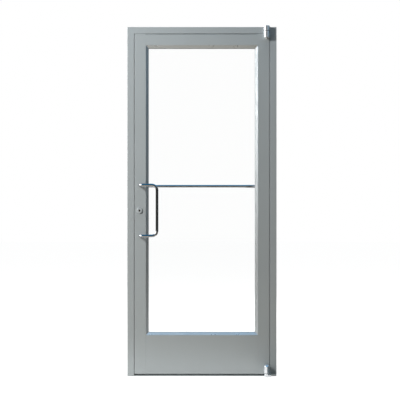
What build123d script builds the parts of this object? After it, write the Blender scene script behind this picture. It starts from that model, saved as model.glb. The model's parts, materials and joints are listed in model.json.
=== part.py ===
from build123d import *
import os

# Glazed aluminium entrance door in its frame, in millimetres.
# X runs across the frame, with the pull handle at -X and the pivots at +X. Y runs from the outside face
# at -Y to the inside at +Y. Z is up from the floor. The origin is on the floor, in the middle of the frame.

# Frame
opening_width = 914.4
opening_height = 2305.05
frame_depth = 114.3
jamb_face = 44.45
frame_wall = 3.2
edge_radius = 0.8

# Leaf
leaf_thickness = 44.45
leaf_wall = 3.2
stile_face = 76.2
top_rail_face = 73.0
bottom_rail_face = 260.35
side_gap = 3.2
top_gap = 1.6
bottom_gap = 3.2
rail_drop = 2.7

# Glazing
glass_thickness = 6.0
glass_edge_gap = 6.0
bead_width = 18.5
bead_flat = 1.2
bead_slope_depth = 13.0
bead_wall = 1.6
bead_lip = 7.0
gasket_thickness = 3.0
gasket_width = 6.0
setting_block_length = 100.0
setting_block_side_gap = 0.5
setting_block_place = 0.25

# Threshold
threshold_height = 12.7
threshold_wall = 3.0
threshold_edge = 3.5
threshold_ramp = 20.0
flute_width = 3.0
flute_depth = 1.2
flute_pitch = 9.0
threshold_foot = 12.0
threshold_hole_radius = 2.8
threshold_hole_spread = 700.0
threshold_hole_row = 26.0

# Door stops and their seals
stop_width = 31.75
stop_height = 15.9
stop_wall = 1.6
stop_face_wall = 4.0
stop_clearance = 5.0
seal_inset = 6.5
seal_bore_share = 0.6
seal_gap = 0.3
seal_gap_pivot_side = 1.9
slot_mouth = 2.0
slot_mouth_depth = 1.2
slot_room = 4.0
slot_room_depth = 1.5
seal_play = 0.1

# Pivots
pivot_inset = 21.0
pivot_offset = 22.0
barrel_radius = 20.5
barrel_chamfer = 1.2
top_bracket_length = 33.0
top_washer_thickness = 3.0
top_arm_length = 42.0
top_pin_radius = 7.0
top_pin_tip = 8.0
top_pin_round = 3.5
washer_margin = 2.5
floor_knuckle_radius = 18.5
floor_knuckle_height = 24.0
bottom_bearing_thickness = 2.5
bottom_arm_length = 58.0
bottom_dome = 12.0
spindle_radius = 8.0
spindle_depth = 18.0
spindle_height = 36.0
running_clearance = 0.05
pivot_plate = 4.8
pivot_plate_depth = 33.0
pivot_plate_length = 80.0
pivot_screw_inset = 16.0
pivot_screw_side = 7.3
top_screw_inset = 12.0
top_screw_depth = 23.0
backer_thickness = 7.6
backer_margin = 9.0
arm_width = 13.0
web_width = 16.0
web_depth = 14.0
web_height = 31.0

# Fasteners
screw_radius = 2.4
screw_head_radius = 4.8
screw_length = 11.0
hole_clearance = 0.1
plate_screw_inset = 9.0
frame_screw_radius = 2.3
frame_screw_head = 4.5
frame_screw_head_height = 2.6
frame_screw_rim = 1.0
frame_screw_crown = 3.2
frame_screw_length = 38.0
port_wall = 1.9
port_inset = 17.0
port_slot = 1.5
access_radius = 7.0
anchor_radius = 3.5
anchor_low = 250.0
anchor_high = 2050.0
head_anchor_spread = 600.0
tie_rod_radius = 4.75
tie_nut_radius = 8.5
tie_nut_height = 8.0
tie_rod_end = 2.4
corner_block_length = 60.0
corner_block_height = 58.0
corner_block_wall = 5.0

# Bars
bar_radius = 9.525
bar_height = 1283.0
pull_spacing = 338.0
pull_reach = 60.0
pull_side_offset = 115.4
pull_corner_radius = 35.0
pull_leg_radius = 28.0
push_reach = 60.0
push_bend_radius = 52.0
stud_radius = 4.75
stud_grip = 14.0
cap_radius = 8.5
cap_height = 5.0
insert_radius = 7.5
insert_length = 12.0
insert_flange_width = 1.6
insert_flange_thickness = 3.0

# Lock
lock_below_bar = 169.0
lock_backset = 34.0
cylinder_radius = 14.6
cylinder_head_radius = 17.2
cylinder_head_proud = 7.5
cylinder_head_taper = 1.0
cylinder_overrun = 0.6
ring_radius = 21.0
ring_top_radius = 18.6
ring_height = 6.2
ring_rim = 1.9
plug_radius = 6.6
keyway_width = 2.0
keyway_height = 9.0
keyway_depth = 18.0
cam_thickness = 2.4
cam_hub_radius = 8.5
cam_reach = 16.0
cam_width = 8.0
turn_ring_radius = 18.5
turn_ring_height = 4.0
turn_ring_taper = 1.5
turn_shaft_radius = 5.5
turn_neck = 6.0
turn_length = 34.0
turn_width = 8.0
turn_height = 16.0
turn_round = 3.6
case_depth = 52.0
case_thickness = 25.4
case_wall = 2.0
case_below = 28.0
case_above = 92.0
faceplate_width = 25.4
faceplate_length = 174.6
faceplate_play = 0.15
bracket_length = 30.0
bracket_overhang = 12.0
bracket_thickness = 3.0
bolt_thickness = 15.9
bolt_width = 22.0
bolt_reach = 52.0
bolt_nose_radius = 5.0
bolt_pivot_depth = 16.2
bolt_pivot_rise = 31.0
bolt_slot_play = 1.5
bolt_pin_radius = 3.5
strike_thickness = 1.6
strike_width = 31.75
strike_length = 124.0
strike_slot_play = 2.0

# Places that follow from the sizes above
frame_height = opening_height + jamb_face
jamb_inner = opening_width / 2
frame_half = jamb_inner + jamb_face
front = -frame_depth / 2
back = frame_depth / 2

leaf_front = front
leaf_back = leaf_front + leaf_thickness
leaf_mid = (leaf_front + leaf_back) / 2
leaf_half = jamb_inner - side_gap
leaf_bottom = threshold_height + bottom_gap
leaf_top = opening_height - top_gap
stile_inner = leaf_half - stile_face
stile_centre = leaf_half - stile_face / 2
light_top = leaf_top - rail_drop - top_rail_face
light_bottom = leaf_bottom + bottom_rail_face

stop_front = leaf_back + stop_clearance
stop_middle = stop_front + stop_width / 2

pivot_x = leaf_half - pivot_inset
pivot_y = leaf_front - pivot_offset
bracket_base = frame_height - top_bracket_length
top_arm_top = bracket_base - top_washer_thickness
top_arm_base = top_arm_top - top_arm_length
bottom_arm_base = floor_knuckle_height + bottom_bearing_thickness
bottom_arm_top = bottom_arm_base + bottom_arm_length

top_rod_height = light_top + leaf_wall + corner_block_height / 2
bottom_rod_height = leaf_bottom + leaf_wall + corner_block_height / 2

lock_x = -leaf_half + lock_backset
lock_height = bar_height - lock_below_bar
bolt_x = -leaf_half + bolt_pivot_depth
bolt_z = lock_height + bolt_pivot_rise
case_low = lock_height - case_below
case_high = lock_height + case_above
faceplate_middle = (case_low + case_high) / 2
bolt_sweep = ((bolt_reach ** 2) + (bolt_width / 2) ** 2) ** 0.5
bolt_slot_low = bolt_z - bolt_width / 2 - bolt_slot_play
bolt_slot_high = bolt_z + bolt_sweep + bolt_slot_play
case_front = leaf_mid - case_thickness / 2
case_back = leaf_mid + case_thickness / 2


# Building helpers

def block(x, y, z):
    middle = Pos((x[0] + x[1]) / 2, (y[0] + y[1]) / 2, (z[0] + z[1]) / 2)
    return middle * Box(x[1] - x[0], y[1] - y[0], z[1] - z[0])


def rod(radius, start, end):
    run = Vector(*end) - Vector(*start)
    centred = (Align.CENTER, Align.CENTER, Align.MIN)
    return Plane(origin=start, z_dir=run) * Cylinder(radius, run.length, align=centred)


def flat_holes(places):
    return [flat_screw(*place, grow=hole_clearance) for place in places]


def turned(profile, start, direction):
    # profile holds (radius, distance) points, turned about the line from start along direction
    body = revolve(Plane.XZ * Polygon(*profile, align=None), Axis.Z)
    return Plane(origin=start, z_dir=direction) * body


def upright(section, low, high):
    return Pos(0, 0, low) * extrude(section, high - low, dir=(0, 0, 1))


def crosswise(section, left, right):
    # section is drawn in Y and Z
    return Pos(left, 0, 0) * extrude(Plane.YZ * section, right - left, dir=(1, 0, 0))


def tube(width, depth, wall):
    return RectangleRounded(width, depth, edge_radius) - Rectangle(width - 2 * wall, depth - 2 * wall)


def flat_screw(start, direction, grow=0.0):
    shank = screw_radius + grow
    head = screw_head_radius + grow
    outline = [(0, 0), (head, 0), (shank, head - shank), (shank, screw_length), (0, screw_length)]
    return turned(outline, start, direction)


def dome(radius, height):
    # spherical cap with its flat side down at Z 0
    ball = (radius ** 2 + height ** 2) / (2 * height)
    slab = Pos(0, 0, height / 2) * Box(2 * ball, 2 * ball, height)
    return (Pos(0, 0, height - ball) * Sphere(ball)) & slab


def without(solid, tools):
    for tool in tools:
        solid = solid - tool
    return solid


# Frame screws and their ports

def port_places():
    high = frame_height - frame_wall - port_wall - frame_screw_radius
    low = opening_height + frame_wall + port_wall + frame_screw_radius
    return [(front + port_inset, high, 1), (back - port_inset, high, 1), (back - port_inset, low, -1)]


def frame_screw(side, place):
    y, z, _ = place
    seat = side * (jamb_inner + frame_wall)
    shank = rod(frame_screw_radius, (seat, y, z), (seat - side * frame_screw_length, y, z))
    outline = [(0, 0), (frame_screw_head, 0), (frame_screw_head, frame_screw_rim),
               (frame_screw_crown, frame_screw_head_height), (0, frame_screw_head_height)]
    return shank + turned(outline, (seat, y, z), (side, 0, 0))


def frame_screws():
    return [frame_screw(side, place) for side in (-1, 1) for place in port_places()]


# Jambs, header and threshold

def jamb(side):
    section = Pos(side * (jamb_inner + jamb_face / 2), 0) * tube(jamb_face, frame_depth, frame_wall)
    post = upright(section, 0, frame_height)
    outer = side * frame_half
    inner = side * jamb_inner
    wall = side * frame_wall
    for y, z, _ in port_places():
        post = post - rod(frame_screw_radius + hole_clearance, (inner, y, z), (inner + wall, y, z))
        post = post - rod(access_radius, (outer - wall, y, z), (outer, y, z))
    for z in (anchor_low, anchor_high):
        post = post - rod(anchor_radius, (outer - wall, stop_middle, z), (outer, stop_middle, z))
        post = post - rod(access_radius, (inner, stop_middle, z), (inner + wall, stop_middle, z))
    return post


def jamb_left():
    post = jamb(-1)
    post = post - strike_solid()
    return without(post - strike_slot(), flat_holes(strike_places()))


def jamb_right():
    post = jamb(1)
    return post - bottom_base_tool()


def header():
    middle = opening_height + jamb_face / 2
    section = Pos(0, middle) * tube(frame_depth, jamb_face, frame_wall)
    ring = frame_screw_radius + port_wall
    for y, z, up in port_places():
        section = section + Pos(y, z) * Circle(ring) + Pos(y, z + up * ring / 2) * Rectangle(2 * ring, ring)
    for y, z, up in port_places():
        section = section - Pos(y, z) * Circle(frame_screw_radius + hole_clearance)
        section = section - Pos(y, z - up * ring / 2) * Rectangle(port_slot, ring)
    beam = crosswise(section, -jamb_inner, jamb_inner)
    y = stop_middle
    for x in (-head_anchor_spread / 2, head_anchor_spread / 2):
        beam = beam - rod(anchor_radius, (x, y, frame_height - frame_wall), (x, y, frame_height))
        beam = beam - rod(access_radius, (x, y, opening_height), (x, y, opening_height + frame_wall))
    return beam - top_bracket_tool()


def threshold_section():
    inset = threshold_ramp
    top = threshold_height
    outline = Polygon((front, 0), (front, threshold_edge), (front + inset, top), (back - inset, top),
                      (back, threshold_edge), (back, 0), align=None)
    bay = (frame_depth - 2 * inset - 3 * threshold_foot) / 2
    for side in (-1, 1):
        middle = side * (threshold_foot / 2 + bay / 2)
        outline = outline - Pos(middle, (top - threshold_wall) / 2) * Rectangle(bay, top - threshold_wall)
    count = int((frame_depth / 2 - inset - flute_width) / flute_pitch)
    for index in range(-count, count + 1):
        outline = outline - Pos(index * flute_pitch, top) * Rectangle(flute_width, 2 * flute_depth)
    return outline


def threshold():
    plate = crosswise(threshold_section(), -jamb_inner, jamb_inner)
    for x in (-threshold_hole_spread / 2, threshold_hole_spread / 2):
        for y in (-threshold_hole_row, threshold_hole_row):
            plate = plate - rod(threshold_hole_radius, (x, y, 0), (x, y, threshold_height))
    return plate


# Door stops and seals. Their sections are drawn with the first value away from the jamb or header
# and the second one from the stop's face towards the inside.

def stop_section():
    outside = Polygon((0, 0), (stop_height, 0), (stop_height, stop_width), (0, stop_width), align=None)
    room = stop_width - stop_face_wall - stop_wall
    inside = stop_height - stop_wall
    hollow = Pos(inside / 2, stop_face_wall + room / 2) * Rectangle(inside, room)
    mouth = Pos(seal_inset, slot_mouth_depth / 2) * Rectangle(slot_mouth, slot_mouth_depth)
    room_middle = slot_mouth_depth + slot_room_depth / 2
    pocket = Pos(seal_inset, room_middle) * Rectangle(slot_room, slot_room_depth)
    return outside - hollow - mouth - pocket


def seal_section(gap):
    reach = stop_clearance - gap
    radius = (reach - seal_play) / 2
    bore = radius * seal_bore_share
    bulb = Pos(seal_inset, radius - reach) * (Circle(radius) - Circle(bore))
    neck_width = slot_mouth - 2 * seal_play
    neck_start = radius - reach + (radius + bore) / 2
    neck_end = slot_mouth_depth + seal_play
    neck = Pos(seal_inset, (neck_start + neck_end) / 2) * Rectangle(neck_width, neck_end - neck_start)
    foot = Rectangle(slot_room - 2 * seal_play, slot_room_depth - 2 * seal_play)
    return bulb + neck + Pos(seal_inset, slot_mouth_depth + slot_room_depth / 2) * foot


def beside_jamb(section, side, low, high):
    # the section's first value runs from the jamb's face to the middle of the opening
    strip = upright(section, low, high)
    if side > 0:
        strip = mirror(strip, Plane.YZ)
    return Pos(side * jamb_inner, stop_front, 0) * strip


def under_header(section, left, right):
    # the section's first value runs down from the header's soffit
    hanging = Plane(origin=(left, stop_front, opening_height), x_dir=(0, 0, -1), z_dir=(1, 0, 0))
    return hanging * upright(section, 0, right - left)


def stop_left():
    return beside_jamb(stop_section(), -1, threshold_height, opening_height - stop_height)


def stop_right():
    return beside_jamb(stop_section(), 1, threshold_height, opening_height - stop_height)


def stop_header():
    return under_header(stop_section(), -jamb_inner, jamb_inner)


def seal_left():
    return beside_jamb(seal_section(seal_gap), -1, leaf_bottom, opening_height - stop_height)


def seal_right():
    return beside_jamb(seal_section(seal_gap_pivot_side), 1, leaf_bottom, opening_height - stop_height)


def seal_header():
    # ends short of the pivots, where the leaf's heel swings past the stop
    return under_header(seal_section(seal_gap), -jamb_inner + stop_height, pivot_x - pivot_inset - seal_gap)


# Strike

def strike_solid():
    low = faceplate_middle - strike_length / 2
    face = -jamb_inner
    return block((face - strike_thickness, face), (leaf_mid - strike_width / 2, leaf_mid + strike_width / 2),
                 (low, low + strike_length))


def strike_slot():
    half = bolt_thickness / 2 + strike_slot_play
    return block((-jamb_inner - frame_wall, -jamb_inner), (leaf_mid - half, leaf_mid + half),
                 (bolt_slot_low - strike_slot_play, bolt_slot_high + strike_slot_play))


def strike_places():
    margin = strike_length / 2 - plate_screw_inset
    return [((-jamb_inner, leaf_mid, faceplate_middle + offset), (-1, 0, 0)) for offset in (-margin, margin)]


def strike_plate():
    return without(strike_solid() - strike_slot(), flat_holes(strike_places()))


def strike_screws():
    return [flat_screw(*place) for place in strike_places()]


# Leaf frame

def stile(side):
    section = Pos(side * stile_centre, leaf_mid) * tube(stile_face, leaf_thickness, leaf_wall)
    post = upright(section, leaf_bottom, leaf_top)
    inner = side * stile_inner
    for z in (top_rod_height, bottom_rod_height):
        outer = inner + side * leaf_wall
        post = post - rod(tie_rod_radius + hole_clearance, (inner, leaf_mid, z), (outer, leaf_mid, z))
    return post


def lock_stile():
    post = stile(-1)
    edge = -leaf_half
    half = faceplate_width / 2 + faceplate_play
    reach = faceplate_length / 2 + faceplate_play
    post = post - block((edge, edge + leaf_wall), (leaf_mid - half, leaf_mid + half),
                        (faceplate_middle - reach, faceplate_middle + reach))
    holes = [(lock_x, lock_height, cylinder_radius), (-stile_centre, bar_height, stud_radius),
             (-stile_centre, bar_height - pull_spacing, stud_radius)]
    for y in (leaf_front, leaf_back - leaf_wall):
        for x, z, radius in holes:
            post = post - rod(radius + hole_clearance, (x, y, z), (x, y + leaf_wall, z))
    return post


def pivot_stile():
    post = stile(1)
    hole = insert_radius + hole_clearance
    post = post - rod(hole, (stile_centre, leaf_back - leaf_wall, bar_height), (stile_centre, leaf_back, bar_height))
    return post - top_arm_tool() - bottom_arm_tool()


def rail(low, high):
    return Pos(leaf_mid, (low + high) / 2) * tube(leaf_thickness, high - low, leaf_wall)


def top_rail():
    return crosswise(rail(light_top, light_top + top_rail_face), -stile_inner, stile_inner)


def bottom_rail():
    section = rail(leaf_bottom, light_bottom)
    web = Pos(leaf_mid, (leaf_bottom + light_bottom) / 2) * Rectangle(leaf_thickness - leaf_wall, leaf_wall)
    return crosswise(section + web, -stile_inner, stile_inner)


def corner_block(side, rod_height):
    inside = leaf_thickness / 2 - leaf_wall
    near = side * (stile_inner - corner_block_length)
    far = side * stile_inner
    x = (min(near, far), max(near, far))
    half = corner_block_height / 2
    body = block(x, (leaf_mid - inside, leaf_mid + inside), (rod_height - half, rod_height + half))
    gap = (corner_block_length - 3 * corner_block_wall) / 2
    for start in (corner_block_wall, 2 * corner_block_wall + gap):
        a = x[0] + start
        pocket = inside - corner_block_wall
        body = body - block((a, a + gap), (leaf_mid - pocket, leaf_mid + pocket),
                            (rod_height - half, rod_height + half))
    return body - rod(tie_rod_radius + hole_clearance, (x[0], leaf_mid, rod_height), (x[1], leaf_mid, rod_height))


def corner_blocks():
    return [corner_block(side, z) for side in (-1, 1) for z in (top_rod_height, bottom_rod_height)]


def rod_end():
    return stile_inner + leaf_wall + tie_nut_height + tie_rod_end


def tie_rods():
    end = rod_end()
    heights = (top_rod_height, bottom_rod_height)
    return [rod(tie_rod_radius, (-end, leaf_mid, z), (end, leaf_mid, z)) for z in heights]


def tie_rod_nuts():
    nuts = []
    for z in (top_rod_height, bottom_rod_height):
        for side in (-1, 1):
            seat = side * (stile_inner + leaf_wall)
            hexagon = RegularPolygon(tie_nut_radius, 6) - Circle(tie_rod_radius + hole_clearance)
            nut = extrude(hexagon, tie_nut_height)
            nuts.append(Plane(origin=(seat, leaf_mid, z), z_dir=(side, 0, 0)) * nut)
    return nuts


# Glazing. A bead's section is drawn with the first value from the stile or rail into the light
# and the second one from the leaf's face towards the glass.

def bead_depth():
    return (leaf_thickness - glass_thickness) / 2 - gasket_thickness


def bead_outline():
    depth = bead_depth()
    slope = bead_slope_depth / (bead_width - bead_flat)
    drop = bead_wall * (1 + slope ** 2) ** 0.5
    tip = bead_width - bead_wall

    def underside(u):
        return slope * (u - bead_flat) + drop

    return [(0, 0), (bead_flat, 0), (bead_width, bead_slope_depth), (bead_width, depth),
            (bead_width - bead_lip, depth), (bead_width - bead_lip, depth - bead_wall),
            (tip, depth - bead_wall), (tip, underside(tip)), (bead_wall, underside(bead_wall)),
            (bead_wall, depth), (0, depth)]


def bead(side_x, side_z, face):
    # side_x or side_z says which edge of the light the bead lies on, face is -1 outside and 1 inside
    plane_y = leaf_front if face < 0 else leaf_back
    points = bead_outline()
    if side_x:
        ring = [(side_x * (stile_inner - u), plane_y - face * v) for u, v in points]
        strip = upright(Polygon(*ring, align=None), light_bottom, light_top)
    else:
        wall = light_top if side_z > 0 else light_bottom
        ring = [(plane_y - face * v, wall - side_z * u) for u, v in points]
        strip = crosswise(Polygon(*ring, align=None), -stile_inner, stile_inner)
    return strip & mitre(side_x, side_z)


def mitre(side_x, side_z):
    # a prism through the leaf, with ends at 45 degrees, that holds one side of the light
    deep = bead_width * 2
    if side_x:
        edge, inner = side_x * stile_inner, side_x * (stile_inner - deep)
        corners = [(edge, light_bottom), (inner, light_bottom + deep), (inner, light_top - deep), (edge, light_top)]
    else:
        edge = light_top if side_z > 0 else light_bottom
        inner = edge - side_z * deep
        corners = [(-stile_inner, edge), (-stile_inner + deep, inner), (stile_inner - deep, inner),
                   (stile_inner, edge)]
    shape = Plane.XZ * Polygon(*corners, align=None)
    return Pos(0, back, 0) * extrude(shape, 2 * frame_depth, dir=(0, -1, 0))


def glass_pane():
    x = stile_inner - glass_edge_gap
    half = glass_thickness / 2
    z = (light_bottom + glass_edge_gap, light_top - glass_edge_gap)
    return block((-x, x), (leaf_mid - half, leaf_mid + half), z)


def gasket(face):
    outer = bead_width - (bead_lip + gasket_width) / 2
    inner = outer + gasket_width
    y = leaf_mid + face * glass_thickness / 2
    span = (y, y + gasket_thickness) if face > 0 else (y - gasket_thickness, y)

    def frame_at(u):
        return block((-stile_inner + u, stile_inner - u), span, (light_bottom + u, light_top - u))

    return frame_at(outer) - frame_at(inner)


def setting_blocks():
    half = glass_thickness / 2 + gasket_thickness - setting_block_side_gap
    pads = []
    for side in (-1, 1):
        middle = side * 2 * stile_inner * setting_block_place
        pads.append(block((middle - setting_block_length / 2, middle + setting_block_length / 2),
                          (leaf_mid - half, leaf_mid + half), (light_bottom, light_bottom + glass_edge_gap)))
    return pads


# Pull handle and push bar

def bent_bar(points, radii):
    path = FilletPolyline(*points, radius=radii)
    start = Vector(*points[0])
    run = Vector(*points[1]) - start
    return sweep(Plane(origin=start, z_dir=run) * Circle(bar_radius), path=path)


def pull_handle():
    leg = -stile_centre
    grip = leg + pull_side_offset
    out = leaf_front - pull_reach
    top = bar_height
    low = bar_height - pull_spacing
    points = [(leg, leaf_front, top), (leg, out, top), (grip, out, top),
              (grip, out, low), (leg, out, low), (leg, leaf_front, low)]
    radii = [pull_leg_radius, pull_corner_radius, pull_corner_radius, pull_leg_radius]
    bar = bent_bar(points, radii)
    for z in (top, low):
        bar = bar - rod(stud_radius + hole_clearance, (leg, leaf_front - stud_grip, z), (leg, leaf_front, z))
    return bar


def push_bar():
    leg = stile_centre
    out = leaf_back + push_reach
    points = [(-leg, leaf_back, bar_height), (-leg, out, bar_height),
              (leg, out, bar_height), (leg, leaf_back, bar_height)]
    bar = bent_bar(points, [push_bend_radius, push_bend_radius])
    hole = stud_radius + hole_clearance
    for x in (-leg, leg):
        bar = bar - rod(hole, (x, leaf_back, bar_height), (x, leaf_back + stud_grip, bar_height))
    return bar


def bar_studs():
    # the upper one joins the two bars back to back, the lower one carries a cap, the last sits in an insert
    x = -stile_centre
    low = bar_height - pull_spacing
    upper = rod(stud_radius, (x, leaf_front - stud_grip, bar_height), (x, leaf_back + stud_grip, bar_height))
    lower = rod(stud_radius, (x, leaf_front - stud_grip, low), (x, leaf_back, low))
    lower = lower + Plane(origin=(x, leaf_back, low), z_dir=(0, 1, 0)) * dome(cap_radius, cap_height)
    short = rod(stud_radius, (stile_centre, leaf_back - insert_length, bar_height),
                (stile_centre, leaf_back + stud_grip, bar_height))
    return [upper, lower, short]


def bar_insert():
    # thread insert pulled into the pivot stile's inside wall, with a flange behind it
    flange = insert_radius + insert_flange_width
    flange_end = leaf_wall + insert_flange_thickness
    end = insert_length
    outline = [(0, 0), (insert_radius, 0), (insert_radius, leaf_wall), (flange, leaf_wall),
               (flange, flange_end), (insert_radius, flange_end), (insert_radius, end), (0, end)]
    body = turned(outline, (stile_centre, leaf_back, bar_height), (0, -1, 0))
    hole = stud_radius + hole_clearance
    return body - rod(hole, (stile_centre, leaf_back, bar_height), (stile_centre, leaf_back - end, bar_height))


# Lock

def bolt_slot(x):
    half = bolt_thickness / 2 + bolt_slot_play
    return block(x, (leaf_mid - half, leaf_mid + half), (bolt_slot_low, bolt_slot_high))


def lock_screw_places():
    margin = faceplate_length / 2 - plate_screw_inset
    return [((-leaf_half, leaf_mid, faceplate_middle + offset), (1, 0, 0)) for offset in (-margin, margin)]


def lock_faceplate():
    half = faceplate_width / 2
    plate = block((-leaf_half, -leaf_half + leaf_wall), (leaf_mid - half, leaf_mid + half),
                  (faceplate_middle - faceplate_length / 2, faceplate_middle + faceplate_length / 2))
    plate = plate - bolt_slot((-leaf_half, -leaf_half + leaf_wall))
    return without(plate, flat_holes(lock_screw_places()))


def lock_brackets():
    # two plates behind the stile's edge wall that the faceplate is screwed to
    inside = leaf_thickness / 2 - leaf_wall
    x = (-leaf_half + leaf_wall, -leaf_half + leaf_wall + bracket_thickness)
    plates = []
    for side, (start, direction) in zip((-1, 1), lock_screw_places()):
        far = faceplate_middle + side * (faceplate_length / 2 + bracket_overhang)
        near = far - side * bracket_length
        plate = block(x, (leaf_mid - inside, leaf_mid + inside), (min(near, far), max(near, far)))
        plates.append(plate - flat_screw(start, direction, grow=hole_clearance))
    return plates


def lock_screws():
    return [flat_screw(*place) for place in lock_screw_places()]


def lock_case():
    left = -leaf_half + leaf_wall
    outer = block((left, left + case_depth), (case_front, case_back), (case_low, case_high))
    inner = block((left + case_wall, left + case_depth - case_wall),
                  (case_front + case_wall, case_back - case_wall), (case_low + case_wall, case_high - case_wall))
    case = outer - inner - bolt_slot((left, left + case_wall))
    hole = cylinder_radius + hole_clearance
    case = case - rod(hole, (lock_x, case_front, lock_height), (lock_x, case_back, lock_height))
    pin = rod(bolt_pin_radius, (bolt_x, case_front, bolt_z), (bolt_x, case_back, bolt_z))
    return case + pin


def lock_bolt():
    # swings about its lower end; at rest it stands up behind the faceplate
    bar = Pos(0, bolt_reach / 2) * Rectangle(bolt_width, bolt_reach)
    bar = fillet(bar.vertices().group_by(Axis.Y)[-1], bolt_nose_radius)
    profile = bar + Circle(bolt_width / 2) - Circle(bolt_pin_radius + running_clearance)
    solid = Plane.XZ * extrude(profile, bolt_thickness)
    return Pos(bolt_x, leaf_mid + bolt_thickness / 2, bolt_z) * solid


def cylinder_profile(head_radius, head_proud, depth):
    taper = cylinder_head_taper
    return [(0, -head_proud), (head_radius - taper, -head_proud), (head_radius, -head_proud + taper),
            (head_radius, 0), (cylinder_radius, 0), (cylinder_radius, depth), (0, depth)]


def cylinder_depth():
    return case_front + case_wall - leaf_front + cylinder_overrun


def cylinder_body():
    depth = cylinder_depth()
    body = turned(cylinder_profile(cylinder_head_radius, cylinder_head_proud, depth),
                  (lock_x, leaf_front, lock_height), (0, 1, 0))
    return body - rod(plug_radius + running_clearance, (lock_x, leaf_front - cylinder_head_proud, lock_height),
                      (lock_x, leaf_front + depth, lock_height))


def cylinder_ring():
    bore = cylinder_head_radius + hole_clearance
    outline = [(bore, 0), (ring_radius, 0), (ring_radius, ring_rim), (ring_top_radius, ring_height),
               (bore, ring_height)]
    return turned(outline, (lock_x, leaf_front, lock_height), (0, -1, 0))


def cam(y):
    # flat lever, one end round the plug and the other pointing down
    shape = Circle(cam_hub_radius) + Pos(0, -cam_reach / 2) * Rectangle(cam_width, cam_reach)
    solid = Plane.XZ * extrude(shape & Circle(cam_reach), cam_thickness)
    return Pos(lock_x, y + cam_thickness, lock_height) * solid


def cylinder_plug():
    start = leaf_front - cylinder_head_proud
    plug = rod(plug_radius, (lock_x, start, lock_height), (lock_x, leaf_front + cylinder_depth(), lock_height))
    slot = block((lock_x - keyway_width / 2, lock_x + keyway_width / 2), (start, start + keyway_depth),
                 (lock_height - keyway_height / 2, lock_height + keyway_height / 2))
    return plug - slot


def cylinder_cam():
    return cam(leaf_front + cylinder_depth())


def thumb_turn_body():
    depth = cylinder_depth()
    face = -turn_ring_height
    outline = [(0, face), (turn_ring_radius - turn_ring_taper, face), (turn_ring_radius, face + turn_ring_taper),
               (turn_ring_radius, 0), (cylinder_radius, 0), (cylinder_radius, depth), (0, depth)]
    body = turned(outline, (lock_x, leaf_back, lock_height), (0, -1, 0))
    return body - rod(turn_shaft_radius + running_clearance, (lock_x, leaf_back + turn_ring_height, lock_height),
                      (lock_x, leaf_back - depth, lock_height))


def thumb_turn():
    face = leaf_back + turn_ring_height
    neck_end = face + turn_neck
    end = leaf_back - cylinder_depth()
    shaft = rod(turn_shaft_radius, (lock_x, end, lock_height), (lock_x, neck_end, lock_height))
    wing = Pos(lock_x, lock_height) * RectangleRounded(turn_width, turn_length, turn_round)
    wing = Pos(0, neck_end, 0) * (Plane.XZ * extrude(wing, -turn_height))
    return shaft + wing


def thumb_turn_cam():
    return cam(leaf_back - cylinder_depth() - cam_thickness)


# Pivots

def barrel(radius, low, high):
    body = Pos(pivot_x, pivot_y, (low + high) / 2) * Cylinder(radius, high - low)
    return chamfer(body.edges().filter_by(GeomType.CIRCLE), barrel_chamfer)


def edge_plate(x, z):
    y = leaf_front + leaf_wall
    return block(x, (y, y + pivot_plate_depth), z)


def plate_screw_places(face, direction, z):
    y = leaf_front + leaf_wall + pivot_plate_depth / 2
    low, high = z[0] + pivot_screw_inset, z[1] - pivot_screw_inset
    rows = [(y + pivot_screw_side, low), (y - pivot_screw_side, (low + high) / 2), (y + pivot_screw_side, high)]
    return [((face, *row), direction) for row in rows]


def top_arm_span():
    return (leaf_top - pivot_plate_length, leaf_top)


def bottom_arm_span():
    return (leaf_bottom, leaf_bottom + pivot_plate_length)


def arm(low, high, span, arm_low, arm_high):
    # knuckle, the block that joins it to the leaf's corner, and the plate let into the leaf's edge
    body = barrel(barrel_radius, low, high)
    reach = block((leaf_half - arm_width, leaf_half), (pivot_y, leaf_front), (arm_low, arm_high))
    corner = block((leaf_half - pivot_plate, leaf_half), (leaf_front, leaf_front + leaf_wall), (arm_low, arm_high))
    plate = edge_plate((leaf_half - pivot_plate, leaf_half), span)
    return body + reach + corner + plate


def top_arm_tool():
    low = top_arm_base + barrel_chamfer
    corner = block((leaf_half - pivot_plate, leaf_half), (leaf_front, leaf_front + leaf_wall), (low, leaf_top))
    return corner + edge_plate((leaf_half - pivot_plate, leaf_half), top_arm_span())


def bottom_arm_tool():
    high = bottom_arm_top - bottom_dome
    low = bottom_arm_base + barrel_chamfer
    corner = block((leaf_half - pivot_plate, leaf_half), (leaf_front, leaf_front + leaf_wall), (low, high))
    return corner + edge_plate((leaf_half - pivot_plate, leaf_half), bottom_arm_span())


def door_screw_places():
    places = []
    for span in (top_arm_span(), bottom_arm_span()):
        places = places + plate_screw_places(leaf_half, (-1, 0, 0), span)
    return places


def top_pivot_arm():
    body = arm(top_arm_base, top_arm_top, top_arm_span(), top_arm_base + barrel_chamfer, leaf_top)
    hole = top_pin_radius + running_clearance
    body = body - rod(hole, (pivot_x, pivot_y, top_arm_base), (pivot_x, pivot_y, top_arm_top))
    return without(body, flat_holes(door_screw_places()[:3]))


def bottom_pivot_arm():
    low, high = bottom_arm_base, bottom_arm_top
    shoulder = high - bottom_dome
    body = arm(low, shoulder + barrel_chamfer, bottom_arm_span(), low + barrel_chamfer, shoulder)
    body = body + Pos(pivot_x, pivot_y, shoulder) * dome(barrel_radius, bottom_dome)
    bore_top = floor_knuckle_height + spindle_height + running_clearance
    body = body - rod(spindle_radius + running_clearance, (pivot_x, pivot_y, low), (pivot_x, pivot_y, bore_top))
    return without(body, flat_holes(door_screw_places()[3:]))


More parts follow.
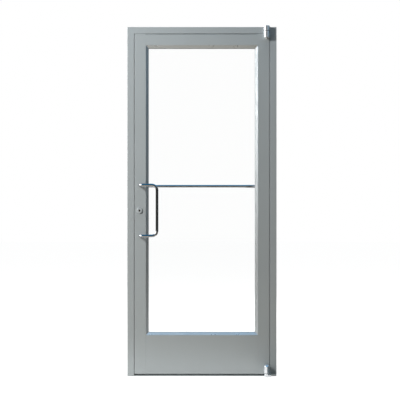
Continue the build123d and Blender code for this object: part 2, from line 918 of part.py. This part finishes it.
def backer(span, screws):
    # tapped plate inside the leaf's edge, with a pocket that the pivot plate sits in
    inside = leaf_half - leaf_wall
    y = (leaf_front + leaf_wall, leaf_back - leaf_wall)
    low = max(span[0] - backer_margin, leaf_bottom)
    high = min(span[1] + backer_margin, leaf_top)
    body = block((inside - backer_thickness, inside), y, (low, high))
    body = body - edge_plate((leaf_half - pivot_plate, leaf_half), span)
    return without(body, flat_holes(screws))


def door_pivot_backers():
    places = door_screw_places()
    return [backer(top_arm_span(), places[:3]), backer(bottom_arm_span(), places[3:])]


def door_pivot_screws():
    return [flat_screw(*place) for place in door_screw_places()]


def base_span():
    return (0, pivot_plate_length)


def bottom_base_body():
    arm_top = floor_knuckle_height - barrel_chamfer
    x = (jamb_inner, jamb_inner + pivot_plate)
    reach = block((pivot_x, x[1]), (pivot_y, front), (0, arm_top))
    corner = block(x, (front, front + frame_wall), (0, arm_top))
    return reach + corner + edge_plate(x, base_span())


def bottom_base_tool():
    x = (jamb_inner, jamb_inner + pivot_plate)
    corner = block(x, (front, front + frame_wall), (0, floor_knuckle_height - barrel_chamfer))
    return corner + edge_plate(x, base_span())


def base_screw_places():
    return plate_screw_places(jamb_inner, (1, 0, 0), base_span())


def bottom_pivot_base():
    body = barrel(floor_knuckle_radius, 0, floor_knuckle_height) + bottom_base_body()
    seat = floor_knuckle_height - spindle_depth
    hole = spindle_radius + running_clearance
    body = body - rod(hole, (pivot_x, pivot_y, seat), (pivot_x, pivot_y, floor_knuckle_height))
    return without(body, flat_holes(base_screw_places()))


def bottom_pivot_spindle():
    low = floor_knuckle_height - spindle_depth
    high = floor_knuckle_height + spindle_height
    body = rod(spindle_radius, (pivot_x, pivot_y, low), (pivot_x, pivot_y, high))
    return chamfer(body.edges().group_by(Axis.Z)[-1], barrel_chamfer)


def bottom_pivot_bearing():
    radius = floor_knuckle_radius - washer_margin / 2
    ring = Circle(radius) - Circle(spindle_radius + running_clearance)
    return Pos(pivot_x, pivot_y, floor_knuckle_height) * extrude(ring, bottom_bearing_thickness)


def top_plate_solid():
    x = (jamb_inner - pivot_plate_length, jamb_inner)
    y = leaf_front + leaf_wall
    return block(x, (y, y + pivot_plate_depth), (opening_height, opening_height + pivot_plate))


def top_web_solid():
    z0, z1 = bracket_base, opening_height + web_height
    inner = front + frame_wall + web_depth
    outline = Polygon((pivot_y, z0 + barrel_chamfer), (front, z0 + barrel_chamfer), (front, opening_height),
                      (inner, opening_height), (inner, z1), (pivot_y, z1), align=None)
    return crosswise(outline, pivot_x - web_width / 2, pivot_x + web_width / 2)


def top_bracket_tool():
    return top_plate_solid() + top_web_solid()


def top_screw_places():
    y = leaf_front + leaf_wall + top_screw_depth
    left = jamb_inner - pivot_plate_length
    places = (left + top_screw_inset, left + pivot_plate_length / 2, jamb_inner - top_screw_inset)
    return [((x, y, opening_height), (0, 0, 1)) for x in places]


def top_pivot_bracket():
    body = barrel(barrel_radius, bracket_base, frame_height) + top_plate_solid() + top_web_solid()
    hole = top_pin_radius + running_clearance
    body = body - rod(hole, (pivot_x, pivot_y, bracket_base), (pivot_x, pivot_y, frame_height))
    return without(body, flat_holes(top_screw_places()))


def frame_backers():
    # tapped plates behind the header's soffit and behind the right jamb's face, like those in the leaf
    y = (front + frame_wall, front + frame_wall + leaf_thickness - 2 * leaf_wall)
    soffit = opening_height + frame_wall
    plate = top_plate_solid()
    left = jamb_inner - pivot_plate_length - backer_margin
    upper = block((left, jamb_inner), y, (soffit, soffit + backer_thickness)) - plate - top_web_solid()
    inside = jamb_inner + frame_wall
    lower = block((inside, inside + backer_thickness), y, (0, pivot_plate_length + backer_margin)) - bottom_base_tool()
    return [without(upper, flat_holes(top_screw_places())),
            without(lower, flat_holes(base_screw_places()))]


def frame_pivot_screws():
    return [flat_screw(*place) for place in top_screw_places() + base_screw_places()]


def top_pivot_pin():
    low = top_arm_base - top_pin_tip
    body = rod(top_pin_radius, (pivot_x, pivot_y, low), (pivot_x, pivot_y, frame_height - barrel_chamfer))
    return fillet(body.edges().group_by(Axis.Z)[0], top_pin_round)


def top_pivot_washer():
    radius = barrel_radius - washer_margin
    ring = Circle(radius) - Circle(top_pin_radius + running_clearance)
    return Pos(pivot_x, pivot_y, top_arm_top) * extrude(ring, top_washer_thickness)


parts = {
    "jamb_left": jamb_left(),
    "jamb_right": jamb_right(),
    "header": header(),
    "frame_screws": frame_screws(),
    "threshold": threshold(),
    "stop_left": stop_left(),
    "stop_right": stop_right(),
    "stop_header": stop_header(),
    "seal_left": seal_left(),
    "seal_right": seal_right(),
    "seal_header": seal_header(),
    "strike_plate": strike_plate(),
    "strike_screws": strike_screws(),
    "top_pivot_bracket": top_pivot_bracket(),
    "top_pivot_pin": top_pivot_pin(),
    "top_pivot_washer": top_pivot_washer(),
    "bottom_pivot_base": bottom_pivot_base(),
    "bottom_pivot_spindle": bottom_pivot_spindle(),
    "bottom_pivot_bearing": bottom_pivot_bearing(),
    "frame_pivot_backers": frame_backers(),
    "frame_pivot_screws": frame_pivot_screws(),
    "lock_stile": lock_stile(),
    "pivot_stile": pivot_stile(),
    "top_rail": top_rail(),
    "bottom_rail": bottom_rail(),
    "corner_blocks": corner_blocks(),
    "tie_rods": tie_rods(),
    "tie_rod_nuts": tie_rod_nuts(),
    "glass_pane": glass_pane(),
    "gasket_outside": gasket(-1),
    "gasket_inside": gasket(1),
    "setting_blocks": setting_blocks(),
    "pull_handle": pull_handle(),
    "push_bar": push_bar(),
    "bar_studs": bar_studs(),
    "bar_insert": bar_insert(),
    "lock_case": lock_case(),
    "lock_faceplate": lock_faceplate(),
    "lock_brackets": lock_brackets(),
    "lock_screws": lock_screws(),
    "lock_bolt": lock_bolt(),
    "cylinder_body": cylinder_body(),
    "cylinder_ring": cylinder_ring(),
    "cylinder_plug": cylinder_plug(),
    "cylinder_cam": cylinder_cam(),
    "thumb_turn_body": thumb_turn_body(),
    "thumb_turn": thumb_turn(),
    "thumb_turn_cam": thumb_turn_cam(),
    "top_pivot_arm": top_pivot_arm(),
    "bottom_pivot_arm": bottom_pivot_arm(),
    "door_pivot_backers": door_pivot_backers(),
    "door_pivot_screws": door_pivot_screws(),
}
for name, side_x, side_z in (("left", -1, 0), ("right", 1, 0), ("top", 0, 1), ("bottom", 0, -1)):
    parts["bead_outside_" + name] = bead(side_x, side_z, -1)
    parts["bead_inside_" + name] = bead(side_x, side_z, 1)

os.makedirs("parts", exist_ok=True)
for name, shape in parts.items():
    if isinstance(shape, list):
        shape = Compound(children=shape)
    export_step(shape, "parts/" + name + ".step")
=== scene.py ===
import json
import math

import bpy
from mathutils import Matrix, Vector

# A glazed aluminium entrance door in its frame. Each effect, finish, lamp and card has its
# values in a dictionary of its own, beside the code that uses it. Lengths are in metres.

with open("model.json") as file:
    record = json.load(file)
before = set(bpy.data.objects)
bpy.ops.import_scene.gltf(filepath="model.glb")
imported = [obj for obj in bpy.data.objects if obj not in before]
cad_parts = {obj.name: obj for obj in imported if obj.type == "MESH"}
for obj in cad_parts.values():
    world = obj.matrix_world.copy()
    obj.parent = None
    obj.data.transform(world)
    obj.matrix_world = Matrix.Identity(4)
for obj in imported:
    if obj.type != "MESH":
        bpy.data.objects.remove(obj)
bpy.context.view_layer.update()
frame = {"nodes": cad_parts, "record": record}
nodes = frame["nodes"]
print("frame loaded:", len(nodes), "pieces")

noiseMiddle = 0.5   # a noise texture varies about this


def link(tree, fromSocket, toSocket):
    tree.links.new(fromSocket, toSocket)


def feed(tree, value, socket):
    # sets a plain number on the socket, or links another node's output to it
    if isinstance(value, float):
        socket.default_value = value
    else:
        link(tree, value, socket)


def mathNode(tree, operation, first, second):
    node = tree.nodes.new("ShaderNodeMath")
    node.operation = operation
    feed(tree, first, node.inputs[0])
    feed(tree, second, node.inputs[1])
    return node.outputs[0]


def objectPlace(tree):
    return tree.nodes.new("ShaderNodeTexCoord").outputs["Object"]


def noise(tree, vector, scale, detail, roughness=0.5):
    node = tree.nodes.new("ShaderNodeTexNoise")
    node.inputs["Detail"].default_value = detail
    node.inputs["Roughness"].default_value = roughness
    feed(tree, scale, node.inputs["Scale"])
    link(tree, vector, node.inputs["Vector"])
    return node.outputs["Fac"]


# Shader node groups, each built once and placed in every material that needs it

def newGroup(name, inputs, outputs):
    group = bpy.data.node_groups.new(name, "ShaderNodeTree")
    for label, kind in inputs.items():
        group.interface.new_socket(name=label, in_out="INPUT", socket_type=kind)
    for label, kind in outputs.items():
        group.interface.new_socket(name=label, in_out="OUTPUT", socket_type=kind)
    start = group.nodes.new("NodeGroupInput")
    end = group.nodes.new("NodeGroupOutput")
    return group, start, end


# each stretch is small along its lines and large across them, and even gives a plain grain
dieLines = {"alongX": (3.0, 700.0, 700.0), "alongZ": (700.0, 700.0, 3.0),
            "even": (60.0, 60.0, 60.0), "detail": 3.0, "roughness": 0.6, "strength": 0.9}


def dieLinesGroup():
    # fine lines left by the extrusion die
    group, start, end = newGroup(
        "dieLines", {"Stretch": "NodeSocketVector", "Strength": "NodeSocketFloat"},
        {"Lines": "NodeSocketFloat"})
    scaled = group.nodes.new("ShaderNodeVectorMath")
    scaled.operation = "MULTIPLY"
    link(group, objectPlace(group), scaled.inputs[0])
    link(group, start.outputs["Stretch"], scaled.inputs[1])
    lines = noise(group, scaled.outputs[0], 1.0, dieLines["detail"], dieLines["roughness"])
    centred = mathNode(group, "SUBTRACT", lines, noiseMiddle)
    strong = mathNode(group, "MULTIPLY", centred, start.outputs["Strength"])
    link(group, mathNode(group, "ADD", strong, noiseMiddle), end.inputs["Lines"])
    return group


slowMottle = {"detail": 4.0}


def slowMottleGroup():
    # a slow change of tone over a surface, such as an anodising bath leaves
    group, start, end = newGroup(
        "slowMottle", {"Scale": "NodeSocketFloat", "Amount": "NodeSocketFloat"},
        {"Tone": "NodeSocketFloat"})
    waves = noise(group, objectPlace(group), start.outputs["Scale"], slowMottle["detail"])
    centred = mathNode(group, "SUBTRACT", waves, noiseMiddle)
    change = mathNode(group, "MULTIPLY", centred, start.outputs["Amount"])
    link(group, mathNode(group, "ADD", change, 1.0), end.inputs["Tone"])
    return group


# gain says how little the normal has to turn for an edge to count as worn
edgeWear = {"samples": 6, "gain": 5.0, "breakScale": 260.0, "breakDetail": 3.0, "amount": 0.08}


def edgeWearGroup():
    # rubbed edges: where the rounded normal leaves the flat one, broken up by a fine noise
    group, start, end = newGroup(
        "edgeWear", {"Radius": "NodeSocketFloat", "Amount": "NodeSocketFloat"},
        {"Mask": "NodeSocketFloat", "Normal": "NodeSocketVector"})
    rounded = group.nodes.new("ShaderNodeBevel")
    rounded.samples = edgeWear["samples"]
    link(group, start.outputs["Radius"], rounded.inputs["Radius"])
    flat = group.nodes.new("ShaderNodeNewGeometry")
    dot = group.nodes.new("ShaderNodeVectorMath")
    dot.operation = "DOT_PRODUCT"
    link(group, rounded.outputs["Normal"], dot.inputs[0])
    link(group, flat.outputs["Normal"], dot.inputs[1])
    turned = mathNode(group, "SUBTRACT", 1.0, dot.outputs["Value"])
    strong = mathNode(group, "MULTIPLY", turned, edgeWear["gain"])
    broken = noise(group, objectPlace(group), edgeWear["breakScale"], edgeWear["breakDetail"])
    worn = mathNode(group, "MULTIPLY", strong, broken)
    amount = mathNode(group, "MULTIPLY", worn, start.outputs["Amount"])
    link(group, mathNode(group, "MINIMUM", amount, 1.0), end.inputs["Mask"])
    link(group, rounded.outputs["Normal"], end.inputs["Normal"])
    return group


# the part of the noise that is spread between the lowest and the highest roughness
handlingMarks = {"detail": 5.0, "noiseLow": 0.35, "noiseHigh": 0.7}


def handlingMarksGroup():
    # marks of hands and cloths, as a roughness between Low and High
    group, start, end = newGroup(
        "handlingMarks",
        {"Scale": "NodeSocketFloat", "Low": "NodeSocketFloat", "High": "NodeSocketFloat"},
        {"Roughness": "NodeSocketFloat"})
    smears = noise(group, objectPlace(group), start.outputs["Scale"], handlingMarks["detail"])
    spread = group.nodes.new("ShaderNodeMapRange")
    spread.inputs["From Min"].default_value = handlingMarks["noiseLow"]
    spread.inputs["From Max"].default_value = handlingMarks["noiseHigh"]
    link(group, smears, spread.inputs["Value"])
    link(group, start.outputs["Low"], spread.inputs["To Min"])
    link(group, start.outputs["High"], spread.inputs["To Max"])
    link(group, spread.outputs["Result"], end.inputs["Roughness"])
    return group


groups = {"lines": dieLinesGroup(), "mottle": slowMottleGroup(), "wear": edgeWearGroup(),
          "marks": handlingMarksGroup()}
print("node groups built:", len(groups))


# Materials

def newMaterial(name):
    material = bpy.data.materials.new(name)
    material.use_nodes = True
    tree = material.node_tree
    return material, tree, tree.nodes["Principled BSDF"]


def placeGroup(tree, key, **values):
    node = tree.nodes.new("ShaderNodeGroup")
    node.node_tree = groups[key]
    for label, value in values.items():
        node.inputs[label].default_value = value
    return node


def mixColour(tree, mask, first, second):
    # first where the mask is 0, second where it is 1
    node = tree.nodes.new("ShaderNodeMix")
    node.data_type = "RGBA"
    link(tree, mask, node.inputs[0])
    ends = [socket for socket in node.inputs if socket.type == "RGBA"]
    for socket, value in zip(ends, (first, second)):
        if isinstance(value, tuple):
            socket.default_value = value + (1.0,)
        else:
            link(tree, value, socket)
    return [socket for socket in node.outputs if socket.type == "RGBA"][0]


def mottledColour(tree, finish):
    # the finish's colour times a slowly changing tone
    mottle = placeGroup(tree, "mottle", Scale=finish["mottleScale"],
                        Amount=finish["mottleAmount"])
    node = tree.nodes.new("ShaderNodeVectorMath")
    node.operation = "SCALE"
    node.inputs[0].default_value = finish["colour"]
    link(tree, mottle.outputs["Tone"], node.inputs["Scale"])
    return node.outputs[0]


def markedRoughness(tree, shader, finish):
    marks = placeGroup(tree, "marks", Scale=finish["markScale"],
                       Low=finish["roughness"] - finish["smoother"],
                       High=finish["roughness"] + finish["rougher"])
    link(tree, marks.outputs["Roughness"], shader.inputs["Roughness"])
    return marks.outputs["Roughness"]


def addBump(tree, shader, finish, height, normal=None):
    bump = tree.nodes.new("ShaderNodeBump")
    bump.inputs["Strength"].default_value = finish["bump"]
    bump.inputs["Distance"].default_value = finish["bumpDepth"]
    link(tree, height, bump.inputs["Height"])
    if normal is not None:
        link(tree, normal, bump.inputs["Normal"])
    link(tree, bump.outputs["Normal"], shader.inputs["Normal"])


# smoother and rougher are how far the marks take the roughness down and up. edgeRadius is 0
# on the glass beads, because a rounded normal speckles their narrow faces.
satinSurface = {"mottleScale": 2.2, "mottleAmount": 0.10, "markScale": 26.0,
                "smoother": 0.03, "rougher": 0.05, "bump": 0.06, "bumpDepth": 0.0002,
                "edgeRadius": 0.0006}
anodised = {**satinSurface, "colour": (0.398, 0.43, 0.434), "roughness": 0.38,
            "metallic": 0.4, "edge": (0.55, 0.58, 0.59)}
beadFinish = {**satinSurface, "colour": (0.50, 0.525, 0.53), "roughness": 0.30,
              "metallic": 0.55, "edge": (0.66, 0.68, 0.69), "edgeRadius": 0.0}
# painted shade: the side beads are the same aluminium as the top and bottom beads, given a
# more metallic, rougher copy of the finish so they take little lamp light and the left bead,
# facing the dark right card, shows dark
sideBeadShadeFinish = {**satinSurface, "colour": (0.56, 0.585, 0.59), "roughness": 0.50,
                  "metallic": 0.84, "edge": (0.66, 0.68, 0.69), "edgeRadius": 0.0}
pivotFinish = {**satinSurface, "colour": (0.74, 0.76, 0.78), "roughness": 0.26,
               "metallic": 0.78, "edge": (0.85, 0.86, 0.87)}
satinSteel = {**satinSurface, "colour": (0.36, 0.385, 0.39), "roughness": 0.28,
              "metallic": 0.25, "edge": (0.62, 0.63, 0.62)}


def satinMaterial(name, direction, finish):
    material, tree, shader = newMaterial(name)
    lines = placeGroup(tree, "lines", Stretch=dieLines[direction],
                       Strength=dieLines["strength"])
    wear = placeGroup(tree, "wear", Radius=finish["edgeRadius"], Amount=edgeWear["amount"])
    colour = mixColour(tree, wear.outputs["Mask"], mottledColour(tree, finish),
                       finish["edge"])
    link(tree, colour, shader.inputs["Base Color"])
    shader.inputs["Metallic"].default_value = finish["metallic"]
    markedRoughness(tree, shader, finish)
    addBump(tree, shader, finish, lines.outputs["Lines"], wear.outputs["Normal"])
    return material


bareMetal = {"mottleScale": 9.0, "mottleAmount": 0.05, "smoother": 0.03, "rougher": 0.05,
             "bump": 0.02, "bumpDepth": 0.0002, "edgeRadius": 0.0006}
polished = {**bareMetal, "colour": (0.42, 0.43, 0.44), "roughness": 0.06, "markScale": 60.0}
brightSteel = {**bareMetal, "colour": (0.66, 0.66, 0.65), "roughness": 0.22,
               "markScale": 120.0}
zinc = {**bareMetal, "colour": (0.48, 0.47, 0.43), "roughness": 0.42, "markScale": 150.0,
        "bump": 0.05}


def metalMaterial(name, finish):
    material, tree, shader = newMaterial(name)
    link(tree, mottledColour(tree, finish), shader.inputs["Base Color"])
    shader.inputs["Metallic"].default_value = 1.0
    marks = markedRoughness(tree, shader, finish)
    edges = placeGroup(tree, "wear", Radius=finish["edgeRadius"])   # only rounds the edges
    addBump(tree, shader, finish, marks, edges.outputs["Normal"])
    return material


softSurface = {"mottleScale": 30.0, "mottleAmount": 0.25, "markScale": 90.0,
               "smoother": 0.06, "rougher": 0.08, "bumpDepth": 0.0003}
blackRubber = {**softSurface, "colour": (0.022, 0.022, 0.024), "roughness": 0.62,
               "bump": 0.15}
bearingPlastic = {**softSurface, "colour": (0.05, 0.05, 0.055), "roughness": 0.45,
                  "bump": 0.05}


def softMaterial(name, finish):
    material, tree, shader = newMaterial(name)
    link(tree, mottledColour(tree, finish), shader.inputs["Base Color"])
    marks = markedRoughness(tree, shader, finish)
    addBump(tree, shader, finish, marks)
    return material


clearGlass = {"colour": (0.995, 1.0, 0.998), "roughness": 0.0, "ior": 1.2, "specular": 0.1}


def glassMaterial(name, finish):
    material, tree, shader = newMaterial(name)
    shader.inputs["Base Color"].default_value = finish["colour"] + (1.0,)
    shader.inputs["Roughness"].default_value = finish["roughness"]
    shader.inputs["IOR"].default_value = finish["ior"]
    shader.inputs["Specular IOR Level"].default_value = finish["specular"]
    shader.inputs["Transmission Weight"].default_value = 1.0
    return material


materials = {
    "upright": satinMaterial("anodisedUpright", "alongZ", anodised),
    "crosswise": satinMaterial("anodisedCrosswise", "alongX", anodised),
    "beadUprightShaded": satinMaterial("beadUprightShaded", "alongZ", sideBeadShadeFinish),
    "beadCrosswise": satinMaterial("beadCrosswise", "alongX", beadFinish),
    "pivot": satinMaterial("pivotCasting", "alongZ", pivotFinish),
    "polished": metalMaterial("polishedBar", polished),
    "bright": metalMaterial("brightSteel", brightSteel),
    "satin": satinMaterial("satinSteel", "even", satinSteel),
    "zinc": metalMaterial("zincPlate", zinc),
    "glass": glassMaterial("clearGlass", clearGlass),
    "rubber": softMaterial("blackRubber", blackRubber),
    "plastic": softMaterial("bearingPlastic", bearingPlastic),
}
materialOfSlot = {
    "aluminium": "upright", "bead_aluminium": "beadUprightShaded", "polished_metal": "polished",
    "bright_steel": "bright", "plated_steel": "zinc", "glass": "glass",
    "seal_rubber": "rubber", "bearing_plastic": "plastic",
}
# pieces that differ from the rest of their slot
piecesOfMaterial = {
    "crosswise": ["header", "threshold", "stop_header", "top_rail", "bottom_rail"],
    "beadCrosswise": ["bead_outside_top", "bead_outside_bottom", "bead_inside_top",
                      "bead_inside_bottom"],
    "pivot": ["top_pivot_bracket", "top_pivot_arm", "bottom_pivot_arm", "bottom_pivot_base"],
    "satin": ["cylinder_body", "cylinder_ring", "thumb_turn_body", "thumb_turn"],
}
materialOfPiece = {piece: key for key, pieces in piecesOfMaterial.items() for piece in pieces}
for subpart in frame["record"]["subparts"]:
    name = subpart["node"]
    key = materialOfPiece.get(name, materialOfSlot[subpart["material_slot"]])
    nodes[name].data.materials.clear()
    nodes[name].data.materials.append(materials[key])
nodes["glass_pane"].visible_shadow = False   # clear glass lets the lamps through
print("materials given to", len(nodes), "pieces")


# World, floor, lamps, cards and camera

def addObject(name, data, place=(0.0, 0.0, 0.0)):
    thing = bpy.data.objects.new(name, data)
    bpy.context.scene.collection.objects.link(thing)
    thing.location = place
    return thing


def lookAt(thing, target):
    direction = Vector(target) - thing.location
    thing.rotation_euler = direction.to_track_quat("-Z", "Y").to_euler()


def flatMesh(name, width, depth):
    x, y = width / 2, depth / 2
    mesh = bpy.data.meshes.new(name)
    mesh.from_pydata([(-x, -y, 0), (x, -y, 0), (x, y, 0), (-x, y, 0)], [], [(0, 1, 2, 3)])
    return mesh


def rayMask(tree):
    # 1 for what the camera, a reflection or clear glass shows, 0 for the light on the object
    path = tree.nodes.new("ShaderNodeLightPath")
    seen = mathNode(tree, "MAXIMUM", path.outputs["Is Camera Ray"],
                    path.outputs["Is Glossy Ray"])
    return mathNode(tree, "MAXIMUM", seen, path.outputs["Is Transmission Ray"])


world = {"shown": (1.0, 1.0, 1.0), "ambient": (0.075, 0.085, 0.092)}


def makeWorld():
    scene = bpy.context.scene
    scene.world = bpy.data.worlds.new("paleStudio")
    scene.world.use_nodes = True
    tree = scene.world.node_tree
    colour = mixColour(tree, rayMask(tree), world["ambient"], world["shown"])
    link(tree, colour, tree.nodes["Background"].inputs["Color"])


floor = {"size": 60.0, "colour": (0.27, 0.265, 0.255), "roughness": 0.9, "specular": 0.0,
         "glow": 0.97, "glowColour": (1.0, 1.0, 1.0)}


def makeFloor():
    mesh = flatMesh("studioFloor", floor["size"], floor["size"])
    plane = addObject("studioFloor", mesh)
    material, tree, shader = newMaterial("paleFloor")
    shader.inputs["Base Color"].default_value = floor["colour"] + (1.0,)
    shader.inputs["Roughness"].default_value = floor["roughness"]
    shader.inputs["Specular IOR Level"].default_value = floor["specular"]
    shader.inputs["Emission Color"].default_value = floor["glowColour"] + (1.0,)
    glow = mathNode(tree, "MULTIPLY", rayMask(tree), floor["glow"])
    link(tree, glow, shader.inputs["Emission Strength"])
    mesh.materials.append(material)


lamps = [
    {"name": "keySoftbox", "place": (-2.8, -2.3, 3.0), "target": (0.0, 0.0, 1.3),
     "size": (0.7, 0.7), "power": 212.0},
    {"name": "sideSoftbox", "place": (-1.9, -1.6, 0.65), "target": (-0.4, 0.0, 0.65),
     "size": (0.5, 0.6), "power": 15.0},
    {"name": "topSoftbox", "place": (0.0, -0.6, 5.0), "target": (0.0, 0.0, 1.0),
     "size": (2.4, 1.6), "power": 90.0},
    {"name": "backSoftbox", "place": (1.8, 3.6, 3.0), "target": (0.0, 0.0, 1.2),
     "size": (2.4, 2.4), "power": 170.0},
]


def makeLamp(settings):
    light = bpy.data.lights.new(settings["name"], "AREA")
    light.shape = "RECTANGLE"
    light.size, light.size_y = settings["size"]
    light.energy = settings["power"]
    lamp = addObject(settings["name"], light, settings["place"])
    lookAt(lamp, settings["target"])
    lamp.visible_camera = False
    lamp.visible_glossy = False
    lamp.visible_transmission = False


# plain cards that the polished bars, the pivots and the beads reflect
cards = [
    {"name": "frontCard", "place": (0.0, -5.6, 2.9), "target": (0.0, 0.0, 2.9),
     "size": (19.0, 6.6), "colour": (0.05, 0.045, 0.04)},
    {"name": "skyCard", "place": (0.0, -0.8, 5.8), "target": (0.0, -0.8, 0.0),
     "size": (19.0, 14.0), "colour": (0.03, 0.40, 0.80)},
    {"name": "leftCard", "place": (-4.4, 0.0, 3.58), "target": (0.0, 0.0, 3.58),
     "size": (4.4, 3.96), "colour": (8.0, 8.0, 7.9)},
    {"name": "midLeftCard", "place": (-4.4, 0.0, 1.05), "target": (0.0, 0.0, 1.05),
     "size": (6.0, 1.4), "colour": (0.10, 0.10, 0.09)},
    {"name": "lowLeftCard", "place": (-4.3, 0.0, 0.17), "target": (0.0, 0.0, 0.17),
     "size": (4.0, 0.34), "colour": (1.0, 1.04, 1.06)},
    {"name": "rightCard", "place": (4.4, 0.0, 2.8), "target": (0.0, 0.0, 2.8),
     "size": (6.0, 6.0), "colour": (0.06, 0.10, 0.12)},
    {"name": "highRightCard", "place": (3.0, -2.6, 3.7), "target": (0.43, -0.08, 2.33),
     "size": (3.0, 1.5), "colour": (0.30, 0.44, 0.54)},
    {"name": "rightGroundCard", "place": (3.3, 1.15, 0.012), "target": (3.3, 1.15, 4.0),
     "size": (5.7, 3.7), "colour": (0.09, 0.13, 0.15)},
    {"name": "groundCard", "place": (0.0, -3.4, 0.012), "target": (0.0, -3.4, 4.0),
     "size": (19.0, 5.4), "colour": (0.41, 0.35, 0.27)},
]


def cardMaterial(settings):
    # glows for a ray that has bounced off something glossy, and is clear for the others
    material = bpy.data.materials.new(settings["name"])
    material.use_nodes = True
    tree = material.node_tree
    tree.nodes.clear()
    path = tree.nodes.new("ShaderNodeLightPath")
    clear = tree.nodes.new("ShaderNodeBsdfTransparent")
    glow = tree.nodes.new("ShaderNodeEmission")
    glow.inputs["Color"].default_value = settings["colour"] + (1.0,)
    choice = tree.nodes.new("ShaderNodeMixShader")
    bounced = mathNode(tree, "GREATER_THAN", path.outputs["Glossy Depth"], 0.5)
    link(tree, bounced, choice.inputs[0])
    link(tree, clear.outputs[0], choice.inputs[1])
    link(tree, glow.outputs[0], choice.inputs[2])
    surface = tree.nodes.new("ShaderNodeOutputMaterial").inputs["Surface"]
    link(tree, choice.outputs[0], surface)
    return material


def makeCard(settings):
    mesh = flatMesh(settings["name"], *settings["size"])
    mesh.materials.append(cardMaterial(settings))
    card = addObject(settings["name"], mesh, settings["place"])
    lookAt(card, settings["target"])
    card.visible_camera = False
    card.visible_diffuse = False
    card.visible_shadow = False


# level, and looking along the y axis: the shift frames the door as the photo does
camera = {"place": (-0.168, -4.557, 1.04), "lens": 60.2, "sensor": 36.0,
          "shiftX": 0.0575, "shiftY": 0.0541, "clipEnd": 200.0}


def makeCamera():
    data = bpy.data.cameras.new("photoCamera")
    data.lens = camera["lens"]
    data.sensor_width = camera["sensor"]
    data.shift_x = camera["shiftX"]
    data.shift_y = camera["shiftY"]
    data.clip_end = camera["clipEnd"]
    data.dof.use_dof = False
    thing = addObject("photoCamera", data, camera["place"])
    thing.rotation_euler = (math.radians(90), 0, 0)
    bpy.context.scene.camera = thing


makeWorld()
makeFloor()
for settings in lamps:
    makeLamp(settings)
for settings in cards:
    makeCard(settings)
makeCamera()
bpy.context.scene.view_settings.view_transform = "Standard"
print("stage, lamps and camera set")
